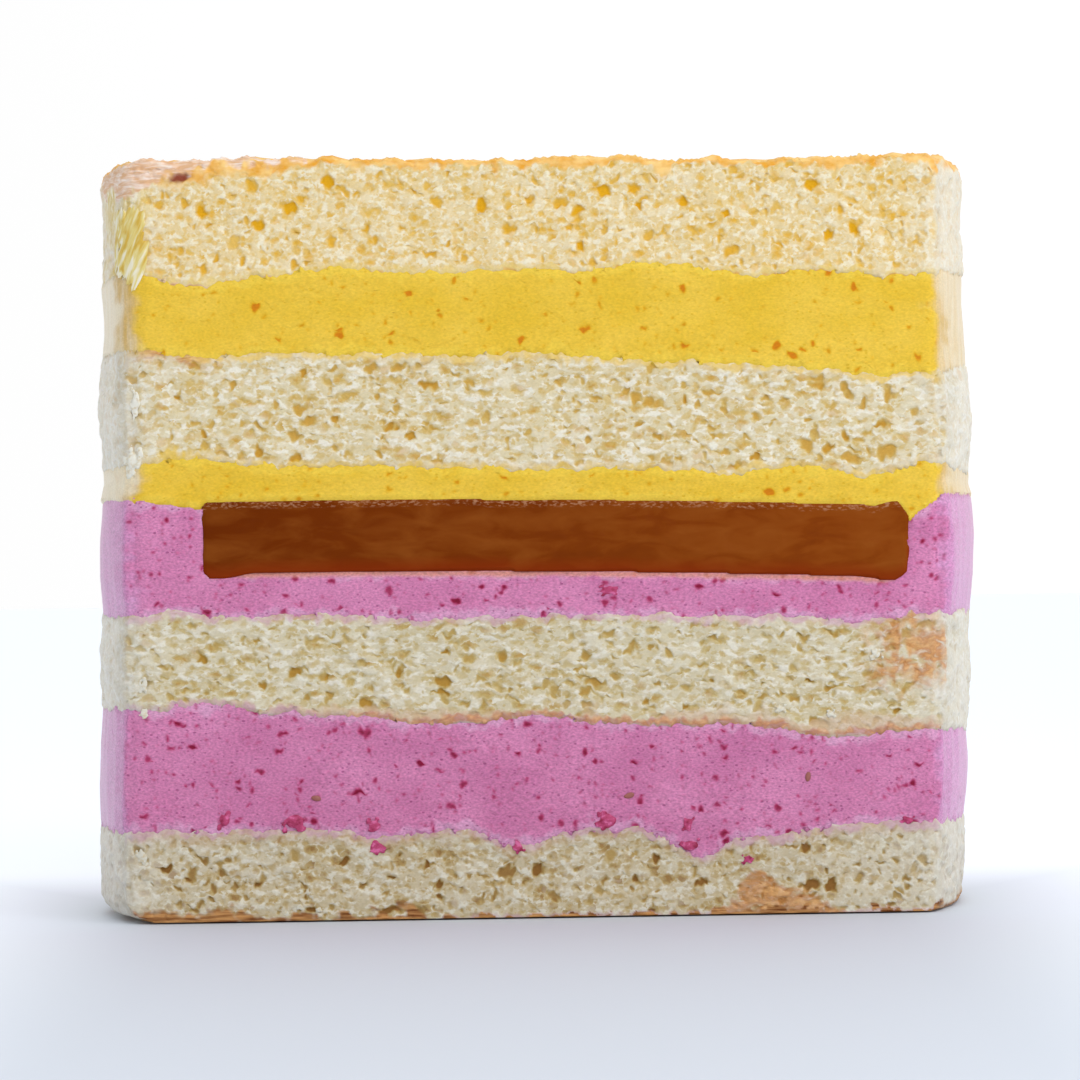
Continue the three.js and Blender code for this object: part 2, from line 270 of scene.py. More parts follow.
class Skin:
    """Where each point of a layer lies: on the cut or on the round outside, and how far from the seams."""

    def __init__(self, piece, seed):
        self.place, self.normal = point_data(piece)
        x, y, z = self.place.T
        self.outward, reach = from_axis(self.place)
        self.cut = smooth_step(0.45, 0.8, -self.normal[:, 1]) * smooth_step(3.5, 1.5, y - CUT_Y)
        facing = (self.normal * self.outward).sum(axis=1)
        self.wall = smooth_step(0.3, 0.75, facing) * (reach > RADIUS - 6) * (1 - self.cut)
        turn = np.arctan2(y, x)
        self.arc = RADIUS * np.where(turn < -np.pi / 2, turn + 2 * np.pi, turn)
        low, height, start = z.min(), np.ptp(z), self.arc.min()
        # a fine relief map for the cut face and a coarser one for the outside
        self.face = ReliefMap(-RADIUS - 4, 2 * RADIUS + 8, low, height, 0.1, seed)
        self.side = ReliefMap(start, self.arc.max() - start, low, height, 0.25, seed + 50)
        floor, roof = self._edges(x, self.cut > 0.5)
        wall_floor, wall_roof = self._edges(self.arc, self.wall > 0.5)
        on_cut = self.cut > 0.4
        self.above = z - np.where(on_cut, floor, wall_floor)
        self.below = np.where(on_cut, roof, wall_roof) - z
        self.to_seam = np.minimum(self.above, self.below)
        # a layer is pushed up or down against the next, and sideways only where the seam stands upright
        away = self.normal * [1, 0, 1]
        upright = smooth_step(1, 3, np.abs(away[:, 0]) / np.maximum(np.abs(away[:, 2]), 1e-6))
        away[:, 0] *= upright * (reach < RADIUS - 5)
        size = np.maximum(np.linalg.norm(away, axis=1), 1e-6)
        self.seam = away / size[:, None] * smooth_step(0.4, 0.8, size)[:, None]
        self.ragged = self.on_cut(0.7 * self.face.mottle(2.4, 6) + 0.5 * self.face.mottle(0.9, 7))
        self.ragged_wall = self.on_wall(
            0.6 * self.side.mottle((4, 8), 6) + 0.6 * self.side.mottle((1.5, 4), 7)
        )
        # along a seam, bits of the next layer are pressed into this one
        self.pressed = smooth_step(0.9, 0.0, self.to_seam + 0.4 * self.ragged)
        # the film that the ring left on the outside begins just past the corner, and further round it is
        # whitened by a painted glare, strongest on the left
        deep = y - CUT_Y
        outside = facing > 0.2
        self.film = smooth_step(0.3, 1.3, deep + 0.35 * self.ragged_wall) * outside
        self.film *= smooth_step(RADIUS - 4, RADIUS - 2, reach)
        self.glare = smooth_step(0, 8, deep + 2.5 * self.ragged_wall) * np.interp(x, (-65, 65), (1.0, 0.5))
        # and the crumb is frayed and dry near it
        self.frayed = smooth_step(RADIUS - 7, RADIUS - 1, reach + self.ragged) * outside

    def _edges(self, along, chosen):
        """The height of the floor and the roof at each point, from the chosen points in its millimetre."""
        if not chosen.any():
            chosen = np.ones_like(chosen)
        way = along - along.min()
        step = np.rint(way).astype(int)
        floor, roof = np.full(step.max() + 1, np.inf), np.full(step.max() + 1, -np.inf)
        np.minimum.at(floor, step[chosen], self.place[chosen, 2])
        np.maximum.at(roof, step[chosen], self.place[chosen, 2])
        known = np.flatnonzero(np.isfinite(floor))
        return np.interp(way, known, floor[known]), np.interp(way, known, roof[known])

    def on_cut(self, field):
        """What a field of the cut face says under each point."""
        return self.face.read(field, self.place[:, 0], self.place[:, 2])

    def on_wall(self, field):
        """What a field of the outside says under each point."""
        return self.side.read(field, self.arc, self.place[:, 2])


BUBBLE_DEPTH, CELL_DEPTH, FLUFF_HEIGHT = 0.55, 0.06, 0.09  # on the cut, in mm
WALL_BUBBLE_DEPTH, WALL_GRAIN_HEIGHT = 0.5, 0.13  # on the outside, in mm
SPONGE_SWELL = 0.5  # how far a sponge reaches past its seams into the next layer, in mm


def carve_sponge(piece, seed, named, pores, stretch=1.0, dry_ends=0.0):
    """Opens bubbles in a sponge's cut face and outside, fluffs the crumb between them and closes its seams.
    Besides the named bubbles there are so many large, middling and small ones to the square centimetre.
    Gives back where the points lie, for the soaked and browned parts."""
    skin = Skin(piece, seed)
    face, side = skin.face, skin.side
    bubbles = [
        np.array(named),
        face.scatter(pores[0], (1.5, 2.6), (0.45, 0.9), stretch),
        face.scatter(pores[1], (0.8, 1.7), (0.35, 0.8), stretch),
        face.scatter(pores[2], (0.5, 0.9), (0.4, 0.8), stretch),
    ]
    bubble = skin.on_cut(face.dents(np.concatenate(bubbles)))
    # they are shallow close to a seam, so that none opens into the gap between two layers
    bubble *= 0.25 + 0.75 * smooth_step(0.1, 1.0, skin.to_seam)
    cell = skin.on_cut(smooth_step(-0.2, 1.9, face.mottle((0.9, 0.9 * stretch), 3, even=True)))
    dry = skin.on_cut(smooth_step(-0.3, 1.9, face.mottle((1.0, 2.0 * stretch), 5)))
    x = skin.place[:, 0]
    end = dry_ends * (smooth_step(44, 62, x) + 0.6 * smooth_step(-60, -68, x))
    # raised dry crumb between the bubbles, which the finish paints white, partly as painted highlight
    fluff = np.clip(dry + 0.35 * skin.frayed + end, 0, 1) * (1 - smooth_step(0.1, 0.5, bubble))
    wall_bubbles = [side.scatter(2, (1.4, 2.6), (0.3, 0.8), 4), side.scatter(12, (0.7, 1.5), (0.2, 0.6), 4)]
    wall_bubble = skin.on_wall(side.dents(np.concatenate(wall_bubbles)))
    wall_grain = skin.on_wall(0.7 * side.mottle((1.2, 3), 3) + 0.7 * side.mottle((3, 6), 4))

    place = skin.place.copy()
    place[:, 1] += skin.cut * (BUBBLE_DEPTH * bubble + CELL_DEPTH * cell - FLUFF_HEIGHT * fluff)
    wall_relief = WALL_BUBBLE_DEPTH * wall_bubble - WALL_GRAIN_HEIGHT * wall_grain
    place -= skin.outward * (skin.wall * wall_relief)[:, None]
    place[:, 2] += uneven(skin.place)
    z = skin.place[:, 2]
    between = smooth_step(0.5, 2, z) * smooth_step(135, 131, z)
    place += SPONGE_SWELL * skin.seam * between[:, None]
    move_points(piece, place)
    # the finish paints the bubbles golden and darker: partly their own tone, partly painted shade
    pore = np.maximum(bubble, 0.35 * cell) * (1 - 0.2 * skin.frayed)
    mark(
        piece,
        pore=skin.cut * pore + 0.6 * skin.wall * wall_bubble,
        fluff=skin.cut * fluff + skin.wall * (0.4 + 0.3 * wall_grain),
        wall=0.75 * skin.film + 0.25 * skin.frayed,
        glare=skin.glare,
        smear=0.7 * skin.cut * skin.pressed,
        **{name: 0 * z for name in ("soak", "rim", "crust", "stain", "skin")},
    )
    return skin


def band(distance, width, ragged):
    """A soft-edged ragged band along a seam."""
    return 1 - smooth_step(0.35, 1.0, (distance + 0.45 * ragged) / np.maximum(width, 0.05))


def tint(code):
    """An sRGB hex colour as linear red, green, blue and alpha."""
    parts = [int(code[i : i + 2], 16) / 255 for i in (1, 3, 5)]
    return [p / 12.92 if p <= 0.04045 else ((p + 0.055) / 1.055) ** 2.4 for p in parts] + [1.0]


def feed(tree, node, inputs):
    """Links or sets a node's inputs."""
    for socket, value in inputs.items():
        if isinstance(value, bpy.types.NodeSocket):
            tree.links.new(value, node.inputs[socket])
        else:
            node.inputs[socket].default_value = value


def add(tree, kind, inputs=None, **settings):
    """Adds a node, with its settings, and links or sets its inputs."""
    made = tree.nodes.new("ShaderNode" + kind)
    for name, value in settings.items():
        setattr(made, name, value)
    feed(tree, made, inputs or {})
    return made


def paint(tree, base, coats):
    """Lays coats over a base colour. A coat is a mask, the mask's values where the coat begins and is full,
    the most that it covers, and its colour. A colour is a hex code or an earlier paint."""
    colour = tint(base) if isinstance(base, str) else base
    for mask, start, full, most, coat in coats:
        cover = add(tree, "MapRange", {0: mask, 1: start, 2: full, 3: 0.0, 4: most}).outputs[0]
        coat = tint(coat) if isinstance(coat, str) else coat
        colour = add(tree, "Mix", {0: cover, 6: colour, 7: coat}, data_type="RGBA").outputs[2]
    return colour


def new_finish(name, *masks):
    """An empty material: its tree, its shader, where a point is, and the masks stored on the points."""
    finish = bpy.data.materials.new(name)
    finish.use_nodes = True
    tree = finish.node_tree
    where = add(tree, "TexCoord").outputs["Object"]
    stored = [add(tree, "Attribute", attribute_name=mask).outputs["Fac"] for mask in masks]
    return finish, tree, tree.nodes["Principled BSDF"], where, stored


def blotches(tree, where, sizes, detail=2.0, curl=0.0):
    """Cloudy blotches of these sizes in mm, across, into and up the cake."""
    scale = [1 / (size * MM) for size in sizes]
    stretched = add(tree, "Mapping", {"Vector": where, "Scale": scale}).outputs[0]
    settings = {"Vector": stretched, "Scale": 1.0, "Detail": detail, "Distortion": curl}
    return add(tree, "TexNoise", settings).outputs["Fac"]


def bubbles_of(tree, where, sizes, largest):
    """Round bubbles, about so many mm apart across, into and up the cake: how far inside one a point is."""
    scale = [1 / (size * MM) for size in sizes]
    spread = add(tree, "Mapping", {"Vector": where, "Scale": scale}).outputs[0]
    cells = add(tree, "TexVoronoi", {"Vector": spread, "Scale": 1.0})
    chance = add(tree, "SeparateColor", {0: cells.outputs["Color"]}).outputs[0]
    # one place in five has no bubble
    reach = add(tree, "MapRange", {0: chance, 1: 0.2, 2: 1.0, 3: 0.0, 4: largest}).outputs[0]
    return add(tree, "Math", {0: reach, 1: cells.outputs["Distance"]}, operation="SUBTRACT").outputs[0]


def torn(tree, where, size, far):
    """Where a point would be if the crumb were torn this way and that by so far, in mm."""
    settings = {"Vector": where, "Scale": 1 / (size * MM), "Detail": 2.0}
    aside = add(tree, "TexNoise", settings).outputs["Color"]
    aside = add(tree, "VectorMath", {0: aside, 1: (0.5, 0.5, 0.5)}, operation="SUBTRACT").outputs[0]
    aside = add(tree, "VectorMath", {0: aside, "Scale": far * MM}, operation="SCALE").outputs[0]
    return add(tree, "VectorMath", {0: where, 1: aside}, operation="ADD").outputs[0]


def grainy(tree, colour, grain, darkest, lightest):
    """A colour that a grain darkens and lightens, to these shares of it."""
    shade = add(tree, "MapRange", {0: grain, 1: 0.3, 2: 0.7, 3: darkest, 4: lightest}).outputs[0]
    return add(tree, "VectorMath", {0: colour, "Scale": shade}, operation="SCALE").outputs[0]


FOOD_SHINE = 0.15  # sponge, mousse and fruit throw back little of the light that falls on them
GLOW_SHARE, GLOW_DEPTH = 0.15, 1.0 * MM  # and some of it comes back from about a millimetre inside


def crumb_finish(
    name, stretch, cream, honey, deep, white, soaked, smeared, rims, rim_size, crisp, crisp_size
):
    """Vanilla sponge: a matte open crumb. Its bubbles are golden and darker: partly the crumb's own tone,
    partly painted shade and painted golden light bouncing in them. Raised crumb is white: partly dry crumb,
    partly painted highlight. The outside, pressed on the ring, is smoother and has a pale grey film,
    whitened by painted glare."""
    masks = ("pore", "fluff", "soak", "rim", "smear", "wall", "glare", "crust", "stain", "skin")
    finish, tree, shader, where, stored = new_finish(name, *masks)
    pore, fluff, soak, rim, smear, wall, glare, crust, stain, drooped = stored
    grain = blotches(tree, where, (0.45, 0.45, 0.35))
    lump = blotches(tree, where, (1.4 * stretch, 1.4, 1.1), 3.0, 0.15)
    patch = blotches(tree, where, (7, 7, 5))
    ragged = torn(tree, where, 1.1, 1.6)
    large = bubbles_of(tree, ragged, (1.9 * stretch, 1.8, 1.5), 0.62)
    small = bubbles_of(tree, ragged, (0.9 * stretch, 0.85, 0.7), 0.55)
    # the film is pale grey, whitened further round the outside by painted glare
    film = paint(tree, "#cbc8c0", [(glare, 0.0, 1.0, 1.0, "#efede8")])
    colour = paint(tree, cream, [
        (patch, 0.4, 0.7, 0.25, honey),
        # raised lumps and fluff are white: partly dry crumb, partly painted highlight
        (lump, 0.5, 0.6, 0.75, white),
        # bubbles golden and darker: partly the crumb's tone, partly painted shade and bounce light
        (small, -0.06, 0.08, 0.65, honey),
        (large, -0.06, 0.1, 0.8, honey),
        (large, 0.12, 0.35, 0.7, deep),
        (fluff, 0.0, 1.0, 0.4, white),
        (pore, 0.1, 0.5, 1.0, honey),
        (pore, 0.45, 0.85, 1.0, deep),
        (soak, 0.0, 1.0, 0.7, soaked),
        (smear, 0.0, 1.0, 0.8, smeared),
        (wall, 0.0, 1.0, 0.5, film),
    ])
    streak = blotches(tree, where, rim_size, 3.0, 0.6)
    streaky = add(tree, "MapRange", {0: streak, 1: 0.25, 2: 0.5}).outputs[0]
    streaky = add(tree, "Math", {0: rim, 1: streaky}, operation="MULTIPLY").outputs[0]
    rim_colour = paint(tree, rims[0], [(streak, 0.45, 0.65, 1.0, rims[1])])
    colour = paint(tree, colour, [(streaky, 0.0, 1.0, 1.0, rim_colour)])
    colour = grainy(tree, colour, grain, 0.93, 1.05)
    flaky = blotches(tree, where, crisp_size, 3.0)
    # the drooping skin is tan, with pale lines on its wrinkles that are painted highlight
    wrinkle = blotches(tree, where, (4, 4, 0.7), 3.0, 0.6)
    colour = paint(tree, colour, [
        (crust, 0.0, 1.0, 1.0, paint(tree, crisp[0], [(flaky, 0.35, 0.65, 1.0, crisp[1])])),
        (drooped, 0.0, 1.0, 1.0, paint(tree, "#dcb088", [(wrinkle, 0.4, 0.68, 1.0, "#f2e2d6")])),
        (stain, 0.0, 1.0, 1.0, "#8a4430"),
    ])
    rough = add(tree, "MapRange", {0: wall, 3: 0.85, 4: 0.5}).outputs[0]
    hollow = add(tree, "MapRange", {0: large, 1: -0.1, 2: 0.4}).outputs[0]
    crag = add(tree, "Math", {0: lump, 1: hollow}, operation="SUBTRACT").outputs[0]
    bump = add(tree, "Bump", {"Strength": 0.35, "Distance": 0.3 * MM, "Height": crag}).outputs[0]
    feed(tree, shader, {
        "Base Color": colour, "Roughness": rough, "Normal": bump, "Specular IOR Level": FOOD_SHINE,
        "Subsurface Weight": GLOW_SHARE, "Subsurface Scale": GLOW_DEPTH,
        "Subsurface Radius": (1.0, 0.7, 0.4),
    })
    return finish


def dress(piece, finish, node):
    """Gives a layer its finish and puts it in place of its solid."""
    piece.data.materials.clear()
    piece.data.materials.append(finish)
    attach(piece, "root")
    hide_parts(node)


# a bubble's strength sets its depth and how dark its painted shade is
DEEP, MID, LIGHT = 1.0, 0.75, 0.5  # how deep and dark a bubble is
# bubbles of note on the cut: along, up, width and height in mm, and how deep
BOTTOM_PORES = [
    (-67.2, 9.7, 2.9, 1.9, DEEP), (-60.4, 10.7, 1.9, 1.7, MID), (-63.3, 8, 1.7, 1.2, DEEP),
    (-65.3, 6, 2.3, 1.2, MID), (-58.8, 5.9, 2, 1.9, MID), (-56.7, 9.1, 1.7, 1.7, MID),
    (-54.6, 6.6, 1.5, 1.7, MID), (-50.3, 6.7, 1.7, 1.7, DEEP), (-43.8, 11.6, 2.5, 2.9, LIGHT),
    (-35.2, 10.7, 2.7, 1.7, DEEP), (-26.8, 7.3, 1.9, 1.3, DEEP), (-31.9, 6, 2, 1.7, MID),
    (-20.2, 9.4, 2, 1.7, DEEP), (-18.2, 6.4, 1.9, 1.5, DEEP), (-18.6, 3.8, 1.9, 1.1, DEEP),
    (-27.6, 1.9, 5, 1.9, DEEP), (-41.3, 2.1, 1.7, 1.9, DEEP), (-42.9, 5.1, 0.8, 0.8, DEEP),
    (-41.8, 5.9, 0.8, 0.7, DEEP), (-42.2, 4.4, 0.7, 0.8, DEEP), (-6.2, 8.1, 4.5, 2.5, MID),
    (-0.6, 8, 1.9, 2.7, DEEP), (12.3, 10.9, 2.5, 3.3, LIGHT), (20.7, 10.1, 2.9, 1.5, DEEP),
    (16.6, 6.5, 1.9, 1.3, DEEP), (10, 4.3, 2, 2.7, LIGHT), (28.5, 5.6, 2.5, 1.3, DEEP),
    (1.8, 2.7, 1.9, 1.1, MID), (20, 0.7, 2.5, 1.2, DEEP), (46.9, 11.8, 2.3, 1.9, DEEP),
    (47.9, 5, 4.3, 1.9, DEEP), (51.4, 4.5, 2.7, 3.1, DEEP), (46.2, 3.1, 1.3, 1, DEEP),
    (56.2, 8.8, 1.6, 1.2, MID), (66.5, 7.8, 1.6, 2.1, LIGHT), (68.4, 9.5, 2.3, 1.9, LIGHT),
    (56.8, 5.8, 1.9, 2.1, LIGHT), (63.6, 4, 1.6, 1.8, LIGHT),
]
bottom_sponge = layer_blank("sponge_bottom", "bottom_sponge")
skin = carve_sponge(bottom_sponge, 11, BOTTOM_PORES, (0.8, 8, 12), 1.3, dry_ends=1.0)
x, _, z = skin.place.T
on_cut = skin.cut > 0.4
# how thick the browned skin is along the cut, in mm, and the fold where it has come loose
flake = np.interp(x, (-77, -70, -58, -45, -30, -22, -13, 70, 74), (2.0, 3.2, 2.4, 1.0, 1.8, 1.8, 0, 0, 2.4))
fold_top = np.interp(x, (29, 33, 36, 38, 43, 48, 55), (0, 1.4, 6, 8, 5.5, 3.2, 0.3))
fold = smooth_step(0.5, -0.5, z - fold_top + 0.5 * skin.ragged) * smooth_step(0, 1, fold_top) * on_cut
flake = np.where(on_cut, flake, np.where(x > 60, 2.0, 0.9))
mark(
    bottom_sponge,
    soak=0.55 * band(skin.below, 2.0 + skin.ragged, skin.ragged) * on_cut,
    crust=band(z, np.maximum(flake, 0.2 * fold_top), 1.8 * skin.ragged),
    rim=0.8 * fold,
)
# the bottom sponge has the darkest colours of the sponges, which grow paler up the cake: partly painted
# light from above
bottom_finish = crumb_finish(
    "bottom_crumb", 1.2, cream="#c4b79a", honey="#b0965e", deep="#8b6230", white="#dad6c8",
    soaked="#bd9e88", smeared="#bf93ad", rims=("#b0703a", "#d6a26a"), rim_size=(3, 3, 1.4),
    crisp=("#70401f", "#c4905a"), crisp_size=(5, 5, 0.5),
)
dress(bottom_sponge, bottom_finish, "sponge_bottom")


# Lower berry mousse: whipped cream and sieved berries set with gelatine, poured over the sponge.
# Flecks of berry and a few seeds got through the sieve.
FLECK_DEPTH = 0.06  # mm
MOUSSE_SWELL = 0.7  # how far a mousse reaches past its seams into the next layer, in mm


def carve_mousse(piece, seed, recess, specks, flecks):
    """Gives a mousse the drag marks of the knife and flecks of fruit, and closes its seams. Its faces lie
    back by the recess, in mm, and there are so many large and small flecks to the square centimetre."""
    skin = Skin(piece, seed)
    face, side = skin.face, skin.side
    drag = 0.02 * face.mottle((0.5, 2), 3) + 0.02 * face.mottle(0.6, 4) + 0.05 * face.mottle((5, 12), 5)
    ridge = skin.on_wall(0.05 * side.mottle((12, 2.5), 3) + 0.1 * side.mottle(9, 4))
    spots = [
        np.array(specks),
        face.scatter(flecks[0], (0.8, 1.5), (0.35, 1.0), 1.4),
        face.scatter(flecks[1], (0.4, 0.8), (0.25, 0.8), 1.3),
    ]
    speck = skin.on_cut(face.dents(np.concatenate(spots), 0.08, 0.6, 0.35))
    place = skin.place.copy()
    place[:, 1] += skin.cut * (recess + FLECK_DEPTH * speck - skin.on_cut(drag))
    place -= skin.outward * (skin.wall * (recess - ridge))[:, None]
    place[:, 2] += uneven(skin.place)
    place += MOUSSE_SWELL * skin.seam
    move_points(piece, place)
    edge = skin.to_seam + 0.5 * skin.ragged
    # syrup of the caramel disc has bled into what lies under it
    disc_over = (skin.place[:, 2] + skin.below < 65) & (skin.place[:, 2] > 50)
    mark(
        piece,
        speck=skin.cut * speck,
        wall=skin.film,
        glare=skin.glare,
        edge=skin.cut * smooth_step(1.3, 0.1, edge),
        bled=0.8 * skin.cut * smooth_step(1.0, 0.1, skin.below + 0.08 * skin.ragged) * disc_over,
    )


def mousse_finish(
    name, body, pale, flecks, pinhole_shade, edge_colour, film_and_glare, film_share, glint_streak_size, froth_depth, bled_colour
):
    """Mousse: fine foam, satin where the knife went through and glossy where it set against the ring."""
    finish, tree, shader, where, stored = new_finish(name, "speck", "wall", "glare", "edge", "bled")
    speck, wall, glare, edge, bled = stored
    froth = blotches(tree, where, (0.55, 0.45, 0.32), 3.0)
    swirl = blotches(tree, where, (12, 12, 8), 3.0)
    # pinholes, up to 0.4 mm wide, one to about a millimetre, darker with painted shade
    pin = bubbles_of(tree, where, (1.1, 0.9, 0.7), 0.3)
    pin = add(tree, "MapRange", {0: pin, 1: 0.0, 2: 0.03}).outputs[0]
    # streaks on the glossy outside in the glare colour: painted highlight
    glint_streaks = blotches(tree, where, glint_streak_size, 3.0)
    glint_streaks = add(tree, "MapRange", {0: glint_streaks, 1: 0.4, 2: 0.7, 3: 0.0, 4: 0.45}).outputs[0]
    glint_streaks = add(tree, "Math", {0: wall, 1: glint_streaks}, operation="MULTIPLY").outputs[0]
    # the film's own colour, whitened further round by painted glare
    film = paint(tree, film_and_glare[0], [(glare, 0.0, 1.0, 1.0, film_and_glare[1])])
    colour = paint(tree, body, [
        (swirl, 0.35, 0.65, 1.0, pale),
        (edge, 0.0, 1.0, 0.6, edge_colour),
        (pin, 0.0, 1.0, 0.7, pinhole_shade),
        (speck, 0.0, 0.45, 1.0, flecks[0]),
        (speck, 0.4, 0.8, 1.0, flecks[1]),
        (bled, 0.0, 1.0, 1.0, bled_colour),
        (wall, 0.0, 1.0, film_share, film),
        (glint_streaks, 0.0, 1.0, 1.0, film_and_glare[1]),
    ])
    colour = grainy(tree, colour, froth, 1 - froth_depth, 1 + froth_depth)
    rough = add(tree, "MapRange", {0: wall, 3: 0.6, 4: 0.3}).outputs[0]
    dip = add(tree, "Math", {0: froth, 1: pin}, operation="SUBTRACT").outputs[0]
    bump = add(tree, "Bump", {"Strength": 0.4, "Distance": 0.08 * MM, "Height": dip}).outputs[0]
    feed(tree, shader, {
        "Base Color": colour, "Roughness": rough, "Normal": bump, "Specular IOR Level": FOOD_SHINE,
        "Subsurface Weight": GLOW_SHARE, "Subsurface Scale": GLOW_DEPTH,
        "Subsurface Radius": (1.0, 0.6, 0.5),
    })
    return finish


# flecks of note on the cut: along, up, width and height in mm, and strength
LOWER_BERRY_SPECKS = [
    (-61.9, 31.1, 1.9, 1.3, 1), (-21.3, 27.8, 1.7, 1.6, 1), (-32.6, 22.8, 3.4, 1.2, 0.9),
    (-70, 29.5, 1.6, 1.8, 0.6), (-46, 33.3, 2.6, 1.0, 0.8), (-30.8, 33, 1.8, 1.8, 0.7),
    (-63.3, 24.6, 0.7, 0.7, 1), (-62, 24.6, 0.6, 0.7, 1), (-54, 25, 1.4, 0.8, 0.9),
    (-42.6, 25, 0.9, 0.7, 1), (-18, 27, 2.4, 0.7, 0.7), (-16, 20, 2.2, 0.8, 0.8), (-2, 34, 1.2, 1.0, 0.7),
    (8, 29, 1.2, 1.0, 0.8), (20, 30.5, 1.2, 0.9, 0.9), (33, 28, 1.4, 1.0, 0.8),
    (45.2, 29.7, 1.3, 0.9, 0.9), (57, 25, 1.4, 0.8, 0.8), (66, 31, 1.1, 0.9, 0.8),
    (52, 19, 1.1, 0.8, 0.8),
]
berry_finish = mousse_finish(
    "berry_mousse", body="#c2739e", pale="#cd82ab", flecks=("#b04470", "#821236"), pinhole_shade="#98497a",
    edge_colour="#d3a4c4", film_and_glare=("#c68bb8", "#d2a2c9"), film_share=0.65, glint_streak_size=(1.2, 3, 0.8),
    froth_depth=0.22, bled_colour="#cf8a70",
)
lower_berry = layer_blank("berry_mousse_lower", "lower_berry_mousse")
carve_mousse(lower_berry, 12, 0.15, LOWER_BERRY_SPECKS, (3, 18))
dress(lower_berry, berry_finish, "berry_mousse_lower")


# Lower middle sponge: the same sponge, pressed by the layers on it. Juice has soaked up from below
# on the right, and caramel has stained it near its right end.
LOWER_MIDDLE_PORES = [
    (-60.3, 47.1, 2.3, 1.7, DEEP), (-43.5, 44.2, 2.9, 1.7, DEEP), (-49.2, 42.8, 2.3, 1.5, DEEP),
    (-25.1, 44.1, 1.9, 1.7, DEEP), (-16.9, 42.2, 4.1, 2.5, DEEP), (-17.3, 40.2, 2.5, 1.7, DEEP),
    (-31, 38.7, 3.3, 1.9, DEEP), (-37.6, 43.2, 1.9, 0.8, DEEP), (-37, 40.5, 2.5, 1.5, MID),
    (-41.9, 40, 1.5, 1.5, MID), (-16.7, 47.5, 1.7, 1.2, DEEP), (-56.6, 47.2, 2.5, 1.9, LIGHT),
    (-33.3, 42.3, 2.5, 1.9, LIGHT), (-41, 49.5, 1.9, 1.5, LIGHT), (18.8, 38.7, 2.3, 1.2, DEEP),
    (26, 37.5, 1.9, 1.3, DEEP), (30.9, 41.3, 1.3, 1.2, DEEP), (36.4, 39.5, 1.9, 2, MID),
    (43.2, 39, 1.7, 1, MID), (48.5, 41.2, 1.9, 1.3, DEEP), (39.1, 37, 3.3, 2, LIGHT),
    (45.7, 38, 1.9, 1.7, MID), (65.1, 39.9, 1.3, 1.3, MID), (57.9, 45.8, 1.7, 1.2, MID),
    (51.6, 45.4, 1, 1, MID), (64.1, 35.2, 2, 0.8, DEEP), (46.1, 44.1, 2.5, 2, LIGHT),
]
lower_middle_sponge = layer_blank("sponge_lower_middle", "lower_middle_sponge")
skin = carve_sponge(lower_middle_sponge, 13, LOWER_MIDDLE_PORES, (2.2, 8, 12), 2.0)
x, _, z = skin.place.T
on_cut = skin.cut > 0.4
# juice stands in scallops along the floor, browned by the caramel at the very edge
scallop = skin.on_cut(skin.face.mottle((3, 6), 8))
wet = np.interp(x, (-60, -45, -30, 60, 70), (0.3, 1.4, 2.8, 3.2, 2.2)) + 1.1 * scallop
juice = band(skin.above, np.maximum(wet, 0.1), 0.5 * skin.ragged) * on_cut
seep = 0.8 * smooth_step(1.0, 0.2, skin.above + 0.35 * skin.ragged) * smooth_step(-50, -25, x) * on_cut
stain = np.exp(-(((x - 66.5) / 7.5) ** 2) - ((z - 46) / 6.5) ** 2) * (1 + 0.5 * skin.ragged) * on_cut
mark(
    lower_middle_sponge,
    soak=np.maximum(juice, 0.35 * band(skin.below, 1.2 + 0.8 * skin.ragged, skin.ragged) * on_cut),
    rim=np.maximum(seep, 0.9 * smooth_step(0.1, 0.9, stain)),
)
PLAIN_CRISP = ("#b5753a", "#d9a868")
lower_middle_finish = crumb_finish(
    "lower_middle_crumb", 1.6, cream="#cec4a8", honey="#bda66b", deep="#b0883c", white="#e1ddd0",
    soaked="#cbb197", smeared="#c598b2", rims=("#b8763e", "#d8a66e"), rim_size=(2.4, 2, 1.4),
    crisp=PLAIN_CRISP, crisp_size=(3, 3, 3),
)
dress(lower_middle_sponge, lower_middle_finish, "sponge_lower_middle")


# Upper berry mousse: more of the same mousse, poured over the sponge. The caramel disc was laid on it
# while it was soft, so it stands up round the disc's edge.
UPPER_BERRY_SPECKS = [
    (-14.6, 56.9, 2.6, 1.1, 1), (-10.1, 59, 1.6, 1.0, 1), (-6, 59, 1.4, 0.9, 0.9),
    (-26.5, 58.6, 1.6, 2.2, 0.6), (29.2, 58.5, 1.5, 1.0, 0.9), (42.6, 56.8, 1.9, 1.1, 0.9),
    (-66, 72, 1.2, 1.0, 0.9), (-62, 69, 0.9, 0.8, 0.8), (-69, 62, 1.2, 1.1, 0.7),
    (-68, 57, 1.2, 0.9, 0.9), (-45, 58, 1.5, 0.9, 0.7), (-35, 56, 1.8, 0.8, 0.8), (4, 56, 1.3, 0.8, 0.8),
    (20, 56, 1.6, 0.8, 0.7), (54, 58, 1.2, 0.9, 0.8), (69, 66, 1.0, 1.2, 0.9), (70.5, 60, 1, 1, 0.8),
]
upper_berry = layer_blank("berry_mousse_upper", "upper_berry_mousse")
carve_mousse(upper_berry, 14, 0.15, UPPER_BERRY_SPECKS, (3, 18))
dress(upper_berry, berry_finish, "berry_mousse_upper")


